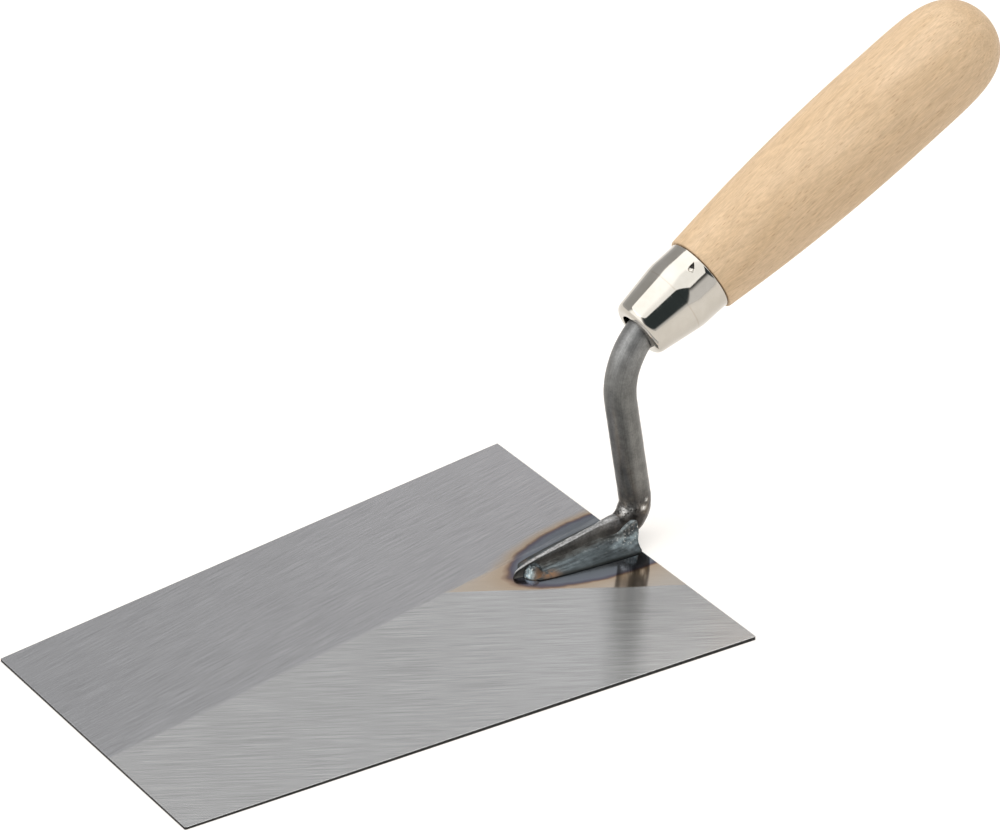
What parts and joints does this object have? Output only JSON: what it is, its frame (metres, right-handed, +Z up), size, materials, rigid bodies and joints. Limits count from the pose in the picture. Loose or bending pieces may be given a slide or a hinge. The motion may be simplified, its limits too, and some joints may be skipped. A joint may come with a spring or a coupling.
{
  "type": "plastering trowel",
  "caption": "Flat trapezoid plastering trowel: steel blade, forged S-shaped neck welded at its rear edge, tapered metal ferrule and round beech handle.",
  "frame": {"origin": "middle of the blade's flat underside", "axes": "+Z up, away from the surface the blade lies on; +Y from the blade's front edge towards the handle; +X to the right"},
  "size_m": [0.1278, 0.3098, 0.1406],
  "materials": {
    "blade": "hardened sheet steel, belt-ground in two passes, with a heat tint round the weld",
    "neck": "dark forged steel with drawn scale, polished in places",
    "weld": "oxidised blue-grey weld metal",
    "ferrule": "bright nickel plate on drawn steel",
    "handle": "pale steamed beech, fine sanded"
  },
  "bodies": {
    "root": {"blade": "blade", "neck": "neck", "weld_left": "weld", "weld_right": "weld", "weld_tip": "weld", "ferrule": "ferrule", "handle": "handle"}
  },
  "joints": []
}
